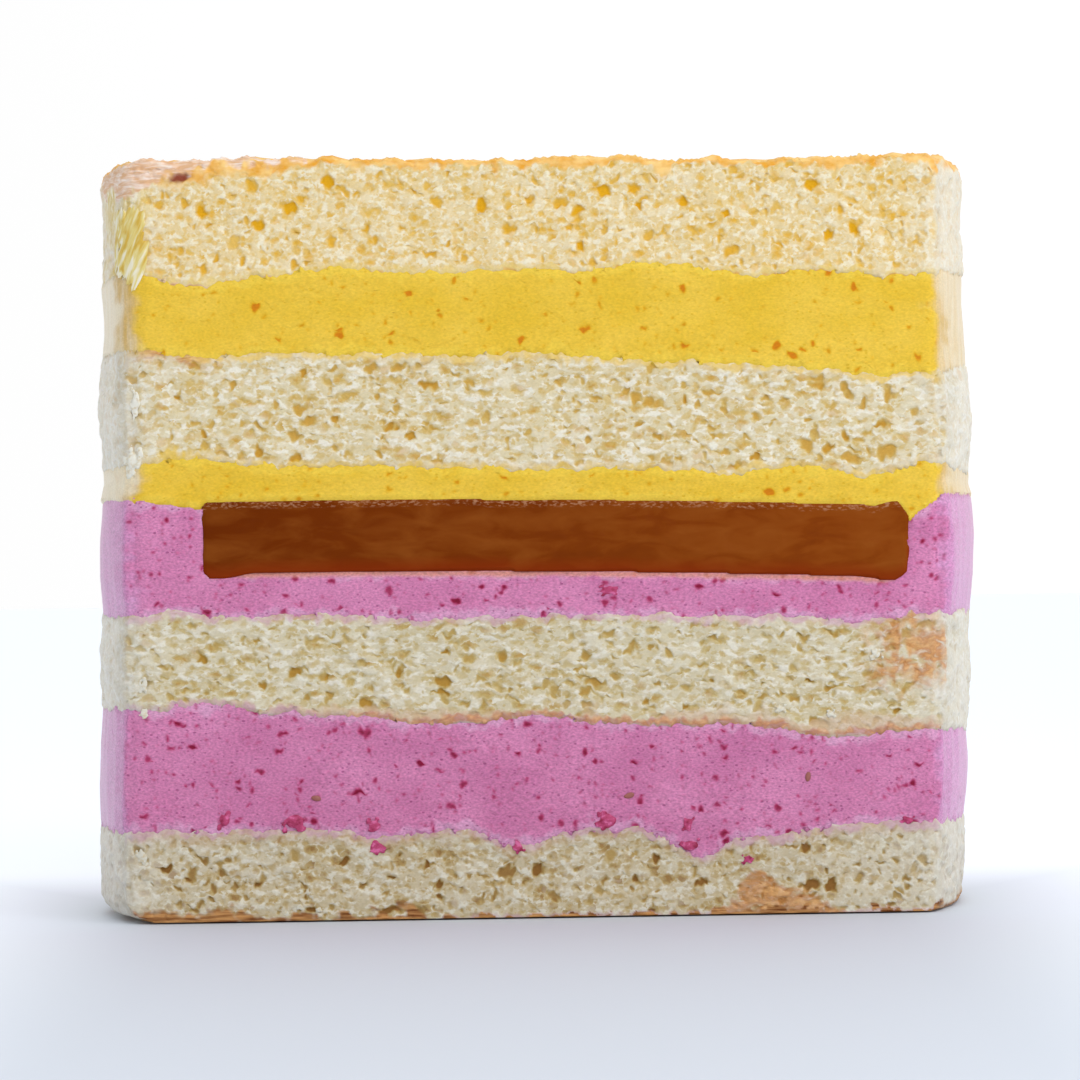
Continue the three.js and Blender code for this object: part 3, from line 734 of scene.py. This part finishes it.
# Caramel disc: mango caramel set to a firm jelly in a smaller ring, frozen and laid on the mousse.
# On the cut it stands up a little at its right end, and both ends sag at the base.
CARAMEL_PROUD = 0.05  # out of the cut, in mm
CARAMEL_SWELL = 0.3  # past its seams, in mm
caramel = layer_blank("caramel_insert", "caramel_disc")
skin = Skin(caramel, 21)
x, y, _ = skin.place.T
sheen = skin.on_cut(0.04 * skin.face.mottle((3, 9), 1) + 0.02 * skin.face.mottle(1.2, 2))
place = skin.place.copy()
place[:, 1] -= skin.cut * (CARAMEL_PROUD + sheen)
place += CARAMEL_SWELL * skin.seam
rise = skin.above / np.maximum(skin.above + skin.below, 0.1)
at_cut = smooth_step(6, 1, y - CUT_Y)
rim = 1.1 * smooth_step(60, 64, x) * smooth_step(0.5, 1, rise)
sag = 0.9 * smooth_step(-50, -56, x) + 0.5 * smooth_step(56, 62, x)
place[:, 2] += (rim - sag * smooth_step(0.5, 0, rise)) * at_cut
place[:, 0] += 0.5 * smooth_step(60, 64, x) * smooth_step(0.35, 0, rise) * at_cut
move_points(caramel, place)
mark(caramel, rise=rise)

# Caramel jelly: firm and wet, so it is a deep brown with a soft sheen, lighter where it was stirred thin,
# and a painted highlight glints along its broken upper edge.
caramel_finish, tree, shader, where, (risen,) = new_finish("caramel_jelly", "rise")
smear = blotches(tree, where, (9, 9, 3), 4.0, 0.6)
across = add(tree, "SeparateXYZ", {0: where}).outputs[0]
# painted highlight: glints along the upper edge
glint = blotches(tree, where, (0.8, 0.6, 0.35), 2.0)
glint = add(tree, "MapRange", {0: glint, 1: 0.5, 2: 0.66}).outputs[0]
edge = add(tree, "MapRange", {0: risen, 1: 0.92, 2: 0.97, 3: 0.0, 4: 0.6}).outputs[0]
edge = add(tree, "Math", {0: edge, 1: glint}, operation="MULTIPLY").outputs[0]
colour = paint(tree, "#662802", [
    (across, -65 * MM, 50 * MM, 1.0, "#813b08"),
    (smear, 0.42, 0.7, 0.4, "#95531c"),
    (smear, 0.5, 0.3, 0.35, "#622404"),
    (risen, 0.2, 0.0, 0.75, "#802806"),
    (edge, 0.0, 1.0, 1.0, "#b98a68"),
])
feed(tree, shader, {"Base Color": colour, "Roughness": 0.35, "IOR": 1.4, "Specular IOR Level": 0.04})
dress(caramel, caramel_finish, "caramel_insert")


# Lower mango mousse: mango pulp and whipped cream set with gelatine, poured thinly over the disc.
# It also fills the groove round the disc's edge.
LOWER_MANGO_SPECKS = [
    (41.7, 75.2, 2.4, 1.7, 1), (45, 75.6, 1.2, 0.9, 0.7), (-48, 77, 1, 0.8, 0.7), (8, 76, 1.2, 0.8, 0.6),
]
mango_finish = mousse_finish(
    "mango_mousse", body="#ddb632", pale="#e3be44", flecks=("#d8a51a", "#cb7a06"), pinhole_shade="#d6ab22",
    edge_colour="#e6c648", film_and_glare=("#ccaa6c", "#e8ddc6"), film_share=0.85, glint_streak_size=(0.8, 2, 7),
    froth_depth=0.09, bled_colour="#d98e3c",
)
lower_mango = layer_blank("mango_mousse_lower", "lower_mango_mousse")
carve_mousse(lower_mango, 15, 0.05, LOWER_MANGO_SPECKS, (2, 12))
dress(lower_mango, mango_finish, "mango_mousse_lower")


# Upper middle sponge: the same sponge again, with the most open crumb, laid on the mango mousse.
# Syrup has soaked in along both of its seams.
UPPER_MIDDLE_PORES = [
    (-41.3, 98, 1.9, 2.3, DEEP), (-54.2, 96.1, 1.9, 1.9, MID), (-59, 87.1, 1.9, 1.9, DEEP),
    (-49.5, 83.9, 1.9, 2.3, DEEP), (-43.1, 82.7, 2.9, 2.1, DEEP), (-42.9, 86.8, 2.5, 1.6, MID),
    (-41.9, 91.8, 3.3, 2.3, MID), (-19.3, 95.5, 3.9, 1.6, DEEP), (-25.7, 87.6, 2.7, 1.2, DEEP),
    (-22.2, 85.9, 2.3, 1.7, DEEP), (-29.4, 98.8, 3.3, 1.7, MID), (-24.4, 98.5, 3.3, 1.9, MID),
    (-28.1, 93.4, 1.6, 1.6, MID), (-61.1, 82.7, 1.9, 1.2, MID), (-28.1, 83.3, 1.9, 2, MID),
    (-40.2, 89.1, 2.5, 1.9, MID), (-35.5, 89.2, 1.2, 1.2, DEEP), (-63.6, 94.4, 1.6, 1.2, DEEP),
    (-17.9, 87.5, 2.3, 1.4, MID), (18.4, 92.5, 2.5, 2.3, MID), (27.1, 91.9, 1.6, 2.1, DEEP),
    (31.1, 92.9, 2.3, 2.3, MID), (51, 95.7, 1.9, 1.9, MID), (63.1, 92.4, 1.9, 3.3, MID),
    (55.9, 93.5, 1.9, 2.9, MID), (59.2, 90.9, 1.4, 2.3, MID), (39.5, 88.7, 2.1, 2.1, MID),
    (48.5, 83.8, 2.5, 2.7, MID), (52.8, 82.7, 2.1, 1.9, DEEP), (39.3, 81.3, 2.5, 1.9, DEEP),
    (35.6, 80.1, 3.3, 1.4, DEEP), (62.9, 82.3, 5, 2.9, MID), (55.5, 85.2, 1.3, 1.3, DEEP),
    (56.3, 81.4, 4.5, 2, MID), (22.3, 85.1, 1.7, 1.5, MID),
]
upper_middle_sponge = layer_blank("sponge_upper_middle", "upper_middle_sponge")
skin = carve_sponge(upper_middle_sponge, 16, UPPER_MIDDLE_PORES, (1.2, 9, 12), 1.7)
x, _, z = skin.place.T
on_cut = skin.cut > 0.4
# caramel smeared along the left of the top seam
smear = np.exp(-(((x + 65) / 5.5) ** 2)) * smooth_step(2.6, 0.6, skin.below + 0.9 * skin.ragged) * on_cut
soak = [band(distance, 1.2 + skin.ragged, skin.ragged) for distance in (skin.above, skin.below)]
# and bits of the mousse below at its left end
bits = np.exp(-(((x + 64) / 4.5) ** 2) - ((z - 83.2) / 2.0) ** 2) * (0.9 + 0.8 * skin.ragged)
mark(
    upper_middle_sponge,
    soak=0.7 * np.maximum(*soak) * on_cut,
    rim=smear,
    smear=np.maximum(bits, 0.7 * skin.pressed) * on_cut,
)
upper_middle_finish = crumb_finish(
    "upper_middle_crumb", 1.4, cream="#d5c8a5", honey="#caac64", deep="#c4953a", white="#e8e4d7",
    soaked="#dccbac", smeared="#e2bc3c", rims=("#b5703a", "#dcae74"), rim_size=(3.5, 3, 0.9),
    crisp=PLAIN_CRISP, crisp_size=(3, 3, 3),
)
dress(upper_middle_sponge, upper_middle_finish, "sponge_upper_middle")


# Upper mango mousse: more of the same mousse, poured over the sponge as a thick smooth layer
# with flecks of fruit.
UPPER_MANGO_SPECKS = [
    (-49.7, 109.5, 2.1, 2.1, 1), (-34.7, 104.4, 2.2, 1.1, 0.9), (-17, 108, 1.3, 1.3, 0.8),
    (-2.3, 103, 1.7, 1.2, 0.9), (26.9, 101.4, 2.4, 1.3, 0.9), (43.5, 101.2, 2.2, 1.6, 1),
    (46.2, 99.4, 2.2, 1.5, 1), (48.2, 101.0, 2.0, 0.9, 0.9), (50, 101.9, 1.2, 1.0, 0.9),
    (-34, 113, 1.6, 0.8, 0.7), (-9.2, 106.5, 1.2, 1.2, 0.6), (8, 111, 1.6, 0.8, 0.6),
    (20, 108, 1.1, 1.0, 0.6), (33, 110, 1.4, 0.8, 0.7), (64, 112.6, 1.2, 1.2, 0.8),
    (64, 108, 1.1, 0.9, 0.8), (67, 104.5, 1.2, 1.1, 0.7), (58, 109, 2.2, 0.7, 0.6),
    (-57, 112.5, 2.0, 0.8, 0.6),
]
upper_mango = layer_blank("mango_mousse_upper", "upper_mango_mousse")
carve_mousse(upper_mango, 17, 0.05, UPPER_MANGO_SPECKS, (2, 12))
dress(upper_mango, mango_finish, "mango_mousse_upper")


# Top sponge: laid baked side up, so that its thin golden skin makes the top of the cake. At the left
# end the skin droops over the corner.
TOP_PORES = [
    (-50, 131.5, 2.8, 2.1, MID), (-36.4, 131.9, 2.8, 2.8, DEEP), (-59, 126.6, 1.8, 4.1, DEEP),
    (-43.3, 127.4, 2.8, 2.6, DEEP), (-41.3, 129, 2.3, 1.8, MID), (-49.1, 124.5, 2.3, 2.3, DEEP),
    (-53.3, 121.6, 2, 3.3, LIGHT), (-35.7, 120.9, 2, 2, MID), (-28.7, 126.6, 3.6, 2.3, LIGHT),
    (-9.3, 127.6, 2.8, 3.8, DEEP), (-25.4, 131.7, 2, 2.6, LIGHT), (-0.3, 128.5, 1.8, 2.6, MID),
    (-27.8, 121.7, 1.8, 1.8, MID), (-56.4, 118, 1.8, 2.3, MID), (-59, 116.8, 2, 3, MID),
    (-42.3, 116.6, 1.5, 3, MID), (-18.5, 119, 4, 1.5, MID), (12.9, 129.8, 3, 3, DEEP),
    (5.2, 127.7, 3, 2.3, MID), (19.2, 127, 1.8, 2, DEEP), (27.3, 127.5, 2.6, 2.6, DEEP),
    (34.9, 125.4, 2, 2, DEEP), (31.4, 124.4, 2.3, 2, LIGHT), (44.2, 126.7, 2.6, 2.6, LIGHT),
    (50.1, 130.3, 3, 2.8, DEEP), (55.2, 125.3, 1.6, 2.6, MID), (57.8, 122, 2.6, 3, DEEP),
    (53.2, 121.2, 2, 2.3, DEEP), (66.2, 121.6, 2.3, 2.6, LIGHT), (36, 118.4, 3, 2.3, MID),
    (6.8, 123.1, 1.8, 1.8, MID), (8.3, 119.7, 1.8, 2.8, DEEP), (66.5, 130.4, 1.8, 1.3, MID),
    (44.2, 119.6, 1.8, 1.8, MID),
]
top_sponge = layer_blank("sponge_top", "top_sponge", shown_top=True)
skin = carve_sponge(top_sponge, 18, TOP_PORES, (0.9, 7, 12), 1.1)
x, y, z = skin.place.T
on_cut = skin.cut > 0.3
on_top = (skin.normal[:, 2] > 0.5) & (z > 130)
# golden pockets hang down from the skin, and at the left end it droops, wrinkled, over the corner
pocket = skin.on_cut(skin.face.mottle((4, 4), 8))
baked = np.interp(x, (-72, -66, -60, -52, -45, -40, -33), (2.5, 5.5, 4.8, 4.2, 3.2, 2.4, 1.2))
baked += np.maximum(pocket, -0.3) * np.interp(x, (-55, -35), (0.3, 1.0))
baked = np.where(on_cut, baked, 1.5)
droop = np.interp(x, (-80, -71, -66, -61, -58, -52, -45, -40), (5.0, 4.8, 3.2, 1.7, 1.1, 0.8, 0.5, 0.0))
sway = np.where(on_cut, 0.7 * skin.ragged, 1.2 * skin.ragged_wall)
at_front = smooth_step(34, 10, y - CUT_Y + 4 * skin.ragged_wall)
drooped = smooth_step(0.6, -0.4, skin.below - droop + sway) * (x < -40) * at_front
scorch = np.exp(-(((x + 62.6) / 2.1) ** 2) - ((z - 133.3 - 0.2 * (x + 62.6)) / 1.0) ** 2) * on_cut
wrinkle = skin.on_cut(skin.face.mottle((0.55, 5), 9, even=True))
# below the fold, mango pulp is smeared over the corner
pulp = np.where(on_cut, 0.8, smooth_step(-1.3, 0.2, skin.ragged_wall))
pulp *= smooth_step(-68, -71, x + skin.ragged) * smooth_step(112, 118, z + 3 * skin.ragged_wall)
place, normal = point_data(top_sponge)
place += normal * (0.1 * drooped * wrinkle)[:, None]
place[:, 2] -= 0.4 * smooth_step(122, 134, z)
move_points(top_sponge, place)
mark(
    top_sponge,
    soak=0.7 * band(skin.above, 0.8 + skin.ragged, skin.ragged) * on_cut,
    crust=np.where(on_top, 0.9, band(skin.below, baked, skin.ragged)),
    skin=np.where(on_top & (y > CUT_Y + 3), 0, drooped),
    rim=pulp * at_front,
    stain=smooth_step(0.15, 0.8, scorch + 0.1 * skin.ragged),
)
# its pulp smear is yellow with near-white streaks, which are partly painted highlight
top_finish = crumb_finish(
    "top_crumb", 1.0, cream="#dec99a", honey="#dab560", deep="#dba41c", white="#eae2ca",
    soaked="#e2d0a6", smeared="#e2c468", rims=("#d4b652", "#f1ead2"), rim_size=(1.4, 2, 5),
    crisp=("#e2a034", "#f2ca80"), crisp_size=(3.5, 3.5, 2),
)
dress(top_sponge, top_finish, "sponge_top")


# Berry bits: torn pieces of berry flesh that the knife left standing out of the cut, most of them
# where the lower mousse meets the bottom sponge.
def surface_at(x, z):
    """How far back the cut lies at a place, in mm, where it rounds off into the outside."""
    aside = abs(x + LEAN * max(0, 1 - z / LEAN_TOP))
    rounding = 0.3 * max(0, aside - 69.5) ** 1.5
    return max(CUT_Y + rounding, -math.sqrt(max(0, RADIUS**2 - aside**2)))


MELT_GRID = 0.13 * MM  # spacing of the points that lumps are melted together with


def scatter_lumps(name, lumps, deep, proud, jitter, finish):
    """One piece of small lumps set into the cut, from (x, z, width, height, turn), in mm and degrees.
    They are so deep for their size, stand proud by a share of that, are pulled out of shape by so much,
    in mm, and melt into each other where they meet."""
    bpy.ops.object.select_all(action="DESELECT")
    made = []
    for x, z, width, height, turn in lumps:
        thick = deep * min(width, height)
        slope = (surface_at(x + 0.1, z) - surface_at(x - 0.1, z)) / 0.2
        facing = math.atan(slope)
        inward = (0.5 - proud) * thick
        place = (x - inward * math.sin(facing), surface_at(x, z) + inward * math.cos(facing), z)
        bpy.ops.mesh.primitive_uv_sphere_add(
            segments=8, ring_count=5, radius=0.5 * MM, location=[c * MM for c in place],
            scale=(width, thick, height), rotation=(0, math.radians(turn), facing),
        )
        made.append(bpy.context.object)
    for lump in made:
        lump.select_set(True)
    bpy.ops.object.join()
    piece = bpy.context.object
    piece.name = piece.data.name = name
    bpy.ops.object.transform_apply(location=True, rotation=True, scale=True)
    bpy.ops.object.mode_set(mode="EDIT")
    bpy.ops.mesh.select_all(action="SELECT")
    bpy.ops.transform.vertex_random(offset=jitter * MM, seed=3)
    bpy.ops.object.mode_set(mode="OBJECT")
    melt = piece.modifiers.new("melt", "REMESH")
    melt.mode = "VOXEL"
    melt.voxel_size = MELT_GRID
    bpy.ops.object.modifier_apply(modifier=melt.name)
    bpy.ops.object.mode_set(mode="EDIT")
    bpy.ops.mesh.select_all(action="SELECT")
    bpy.ops.mesh.vertices_smooth(factor=0.5, repeat=3)
    bpy.ops.object.mode_set(mode="OBJECT")
    bpy.ops.object.shade_smooth()
    piece.data.materials.append(finish)
    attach(piece, "root")


# where they are and how large: x, z, width and height in mm
BERRY_BITS = [
    (-56.5, 18.1, 2.7, 3.1), (-44, 17.6, 5, 3.4), (-29.8, 16.7, 2.9, 2.9), (-29.4, 12.8, 4.5, 2.6),
    (-4.1, 12.4, 2.5, 2.4), (11.9, 16.9, 5, 3.3), (26.2, 16.2, 2.5, 2.9), (26.6, 12.3, 4.5, 2.6),
    (36.9, 9.7, 2.9, 1.7), (65.5, 16.3, 3.1, 1.8), (12.8, 58.2, 4.5, 2.2),
]


def broken(lumps, count, sizes, core, seed):
    """Breaks each lump up into so many smaller ones, of these shares of its size, heaped on a core that is
    a share of it too."""
    rng = np.random.default_rng(seed)
    heap = []
    for x, z, width, height in lumps:
        heap.append((x, z, core * width, core * height, rng.uniform(-15, 15)))
        for _ in range(count):
            aside, up = rng.uniform(-0.42, 0.42, 2)
            wide, high = rng.uniform(*sizes, 2)
            spot = (x + aside * width, z + up * height)
            heap.append((*spot, wide * width, high * height, rng.uniform(-30, 30)))
    return heap


# Berry flesh: wet torn pulp, dark red where it is thick and pink where it is thin.
berry_flesh, tree, shader, where, _ = new_finish("berry_flesh")
ripe = blotches(tree, where, (1.3, 1.3, 0.9), 3.0)
colour = paint(tree, "#8f2c4a", [(ripe, 0.35, 0.5, 1.0, "#b4456f"), (ripe, 0.54, 0.64, 1.0, "#d46c9c")])
feed(tree, shader, {"Base Color": colour, "Roughness": 0.5, "Specular IOR Level": FOOD_SHINE})
torn_berries = broken(BERRY_BITS, 8, (0.2, 0.42), 0.7, 9)
scatter_lumps("berry_bits", torn_berries, 0.35, 0.35, 0.2, berry_flesh)


# Berry seeds: small hard pips that went through the sieve with the berries. A few stand out of the
# lower mousse where the knife passed.
BERRY_SEEDS = [
    (47.8, 24.3, 1.1, 2.0, 10), (15.8, 21.4, 2.2, 1.1, -15), (-40.1, 21.8, 2.0, 1.1, 10),
]
# Pip: a hard shell, brown and smooth.
pip, tree, shader, _, _ = new_finish("berry_pip")
feed(tree, shader, {"Base Color": tint("#96584f"), "Roughness": 0.5})
scatter_lumps("berry_seeds", BERRY_SEEDS, 0.6, 0.25, 0.1, pip)


# Crumbs: lumps of sponge that the knife tore off and left clinging to the cut, most of them at the
# corners and along the base.
CRUMBS = [
    (-72.2, 82.5, 4, 6), (-71.4, 92.9, 2.5, 6), (72.6, 93, 2.5, 2.5), (72.4, 79, 2, 3.3),
    (60.4, 46, 2.6, 2.2), (-43.4, 2.4, 1.6, 1.3), (-39.9, 1.8, 1.3, 1.1), (-45.8, 1.4, 1.2, 1.0),
    (71.5, 36.5, 2.5, 1.8), (52, 35.5, 2, 1.5), (-70.5, 42.5, 2, 3), (-70.8, 37.5, 1.8, 2),
    (43, 36.5, 2.2, 1.6), (71, 9, 2, 3), (-71.5, 12, 2.4, 3),
]
# Loose crumb: dry and matte, and paler the higher it lies, like its sponge: partly painted light from
# above, darker low on the cake.
crumb, tree, shader, where, _ = new_finish("loose_crumb")
height = add(tree, "SeparateXYZ", {0: where}).outputs[2]
speckle = blotches(tree, where, (0.7, 0.7, 0.6))
colour = paint(tree, "#d2cebf", [
    (height, 10 * MM, 100 * MM, 1.0, "#e8e5d8"),
    (speckle, 0.5, 0.7, 0.6, "#c8b07c"),
])
feed(tree, shader, {"Base Color": colour, "Roughness": 0.85, "Specular IOR Level": FOOD_SHINE})
torn_crumbs = broken(CRUMBS, 16, (0.18, 0.36), 0.6, 7)
scatter_lumps("crumbs", torn_crumbs, 0.6, 0.4, 0.22, crumb)


# Pulp shreds: strings of mango that the knife dragged out over the left corner of the top sponge.
# They lean with the knife's way down and lie flat on the crumb.
PULP_COUNT = 60
PULP_LEAN = 25  # degrees
pulp_rng = np.random.default_rng(4)
pulp_shreds = []
for _ in range(PULP_COUNT):
    x = pulp_rng.uniform(-75.2, -70)
    width, height = pulp_rng.uniform(1.0, 2.4), pulp_rng.uniform(3, 7.5)
    # they hang from the fold of the skin, the outer ones highest
    z = min(pulp_rng.uniform(117, 127.5) - 0.5 * (x + 74), 128.5 - 0.5 * height)
    pulp_shreds.append((x, z, width, height, pulp_rng.uniform(5, 40)))
# Mango pulp: wet strings, yellow, and whitish in streaks, partly where they are drawn thin and partly as
# painted highlight.
pulp_finish, tree, shader, where, _ = new_finish("mango_pulp")
leaning = {"Vector": where, "Rotation": (0, math.radians(-PULP_LEAN), 0)}
string = blotches(tree, add(tree, "Mapping", leaning).outputs[0], (1.0, 1.8, 6), 2.0, 0.4)
colour = paint(tree, "#d2ac48", [(string, 0.36, 0.48, 1.0, "#decb80"), (string, 0.5, 0.62, 1.0, "#ece5cc")])
feed(tree, shader, {"Base Color": colour, "Roughness": 0.5, "Specular IOR Level": FOOD_SHINE})
scatter_lumps("pulp_shreds", pulp_shreds, 0.32, 0.22, 0.12, pulp_finish)


# Stage: a plain pale floor before a white backdrop. A window on the right gives soft light from above
# and in front, and the room behind the camera is dark.
bpy.ops.object.select_all(action="DESELECT")
bpy.ops.mesh.primitive_plane_add(size=8, location=(0, 0, -0.3 * MM))
floor = bpy.context.object
floor.name = "floor"
# Pale floor: matte paint with painted light: it glows to the sides and behind the cake, so that it runs
# into the backdrop, and a patch in front of the cake is left without glow, grey as painted shadow.
floor_finish, tree, shader, where, _ = new_finish("pale_floor")
spot = add(tree, "SeparateXYZ", {0: where}).outputs
aside = add(tree, "Math", {0: spot[0]}, operation="ABSOLUTE").outputs[0]
aside = add(tree, "MapRange", {0: aside, 1: 0.06, 2: 0.13}, interpolation_type="SMOOTHSTEP").outputs[0]
back = add(tree, "MapRange", {0: spot[1], 1: -0.02, 2: 0.1}, interpolation_type="SMOOTHSTEP").outputs[0]
glow = add(tree, "Math", {0: aside, 1: back}, operation="MAXIMUM").outputs[0]
glow = add(tree, "MapRange", {0: glow, 3: 0.0, 4: 0.4}).outputs[0]
feed(tree, shader, {
    "Base Color": tint("#c9d1dd"), "Roughness": 0.6,
    "Emission Color": tint("#f8fbff"), "Emission Strength": glow,
})
floor.data.materials.append(floor_finish)

sky = bpy.data.worlds.new("white_backdrop")
bpy.context.scene.world = sky
sky.use_nodes = True
tree = sky.node_tree
along = add(tree, "SeparateXYZ", {0: add(tree, "TexCoord").outputs["Generated"]}).outputs
behind = add(tree, "MapRange", {0: along[1], 1: -0.25, 2: 0.1}).outputs[0]
above = add(tree, "MapRange", {0: along[2], 1: 0.05, 2: 0.75, 3: 0.16, 4: 0.95}).outputs[0]
right = add(tree, "MapRange", {0: along[0], 1: -0.9, 2: 0.0, 3: 0.8, 4: 1.0}).outputs[0]
light = add(tree, "Mix", {0: behind, 2: above, 3: 1.02}).outputs[0]
light = add(tree, "Math", {0: light, 1: right}, operation="MULTIPLY").outputs[0]
feed(tree, tree.nodes["Background"], {"Color": (1, 1, 1, 1), "Strength": light})

WINDOW_PLACE, WINDOW_SIZE, WINDOW_POWER = (0.4, -0.82, 0.58), 0.8, 5.8  # metres and watts
WINDOW_TILT, WINDOW_TURN = 60, 27  # degrees
bpy.ops.object.light_add(type="AREA", location=WINDOW_PLACE)
lamp = bpy.context.object
lamp.name = "window"
lamp.data.size = WINDOW_SIZE
lamp.data.energy = WINDOW_POWER
lamp.rotation_euler = (math.radians(WINDOW_TILT), 0, math.radians(WINDOW_TURN))

CAMERA_PLACE = (0.0006, -0.814, 0.0673)  # level with the middle of the cake, in metres
CAMERA_ROLL = 0.9  # degrees
CAMERA_LENS, CAMERA_SENSOR = 145.6, 36  # mm
bpy.ops.object.camera_add(location=CAMERA_PLACE, rotation=(math.pi / 2, math.radians(CAMERA_ROLL), 0))
camera = bpy.context.object
camera.data.sensor_width = CAMERA_SENSOR
camera.data.lens = CAMERA_LENS
camera.data.clip_end = 50
bpy.context.scene.camera = camera
bpy.context.scene.view_settings.view_transform = "Standard"
